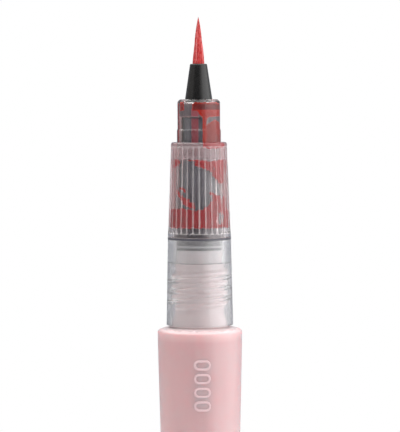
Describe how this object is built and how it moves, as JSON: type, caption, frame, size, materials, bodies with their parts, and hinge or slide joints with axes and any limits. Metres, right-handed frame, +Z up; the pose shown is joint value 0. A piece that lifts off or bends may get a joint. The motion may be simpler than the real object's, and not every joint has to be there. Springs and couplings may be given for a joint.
{
  "type": "brush pen",
  "caption": "Squeeze-barrel brush pen with a clear fluted ink grip, a head that screws onto the soft barrel, and its clip cap posted on the tail.",
  "frame": {"origin": "centre of the closed flat end of the posted cap, which the pen stands on", "axes": "+Z up the pen's axis towards the tuft, +X towards the clip, and the raised squeeze marks face -Y and +Y"},
  "size_m": [0.015, 0.0132, 0.1723],
  "materials": {
    "red_bristle": "fine nylon filaments wet with red ink",
    "black_satin": "satin moulded",
    "grey_feed": "satin moulded, ink stained",
    "ink_fibre": "bonded fibre soaked with ink",
    "clear_plastic": "polished clear, ink tinted",
    "frosted_plastic": "lightly frosted clear",
    "dark_rubber": "matt",
    "pale_rubber": "matt",
    "pale_plastic": "satin moulded",
    "soft_pink": "soft translucent, ink shows through",
    "pink_cap": "polished translucent",
    "red_plastic": "polished moulded"
  },
  "bodies": {
    "cap": {"cap_shell": "pink_cap", "inner_cap": "pale_plastic", "cap_end_plug": "red_plastic"},
    "clip_arm": {"clip": "pink_cap"},
    "barrel": {"barrel": "soft_pink", "neck_insert": "pale_plastic", "tail_plug": "red_plastic"},
    "seal_ring": {"neck_seal": "dark_rubber"},
    "head": {"tuft_root": "red_bristle", "tuft_collar": "black_satin", "tuft_retainer": "black_satin", "ferrule": "black_satin", "nose_sleeve": "clear_plastic", "grip_shell": "clear_plastic", "feed_body": "grey_feed", "feed_rod": "ink_fibre", "feed_plug": "grey_feed", "plug_seal": "pale_rubber", "intake_pipe": "pale_plastic", "thread_sleeve": "frosted_plastic"},
    "tuft": {"tuft": "red_bristle"}
  },
  "joints": [
    {"name": "cap_slide", "type": "slide", "parent": "cap", "child": "barrel", "axis": [0, 0, 1], "range_m": [0, 0.03]},
    {"name": "clip_flex", "type": "hinge", "parent": "cap", "child": "clip_arm", "pos_m": [0.0059, 0, 0.0052], "axis": [0, 1, 0], "range_deg": [0, 4.5], "stiffness_Nm_per_rad": 0.05},
    {"name": "head_lift", "type": "slide", "parent": "barrel", "child": "seal_ring", "axis": [0, 0, 1], "range_m": [0, 0.0096]},
    {"name": "head_turn", "type": "hinge", "parent": "seal_ring", "child": "head", "pos_m": [0, 0, 0.13], "axis": [0, 0, 1], "range_deg": [0, 2161]},
    {"name": "tuft_bend", "type": "hinge", "parent": "head", "child": "tuft", "pos_m": [0, 0, 0.16607], "axis": [0, 1, 0], "range_deg": [-35, 35], "stiffness_Nm_per_rad": 0.0005}
  ],
  "couplings": [
    {"joint": "head_turn", "follows": "head_lift", "rad_per_m": 3927}
  ]
}
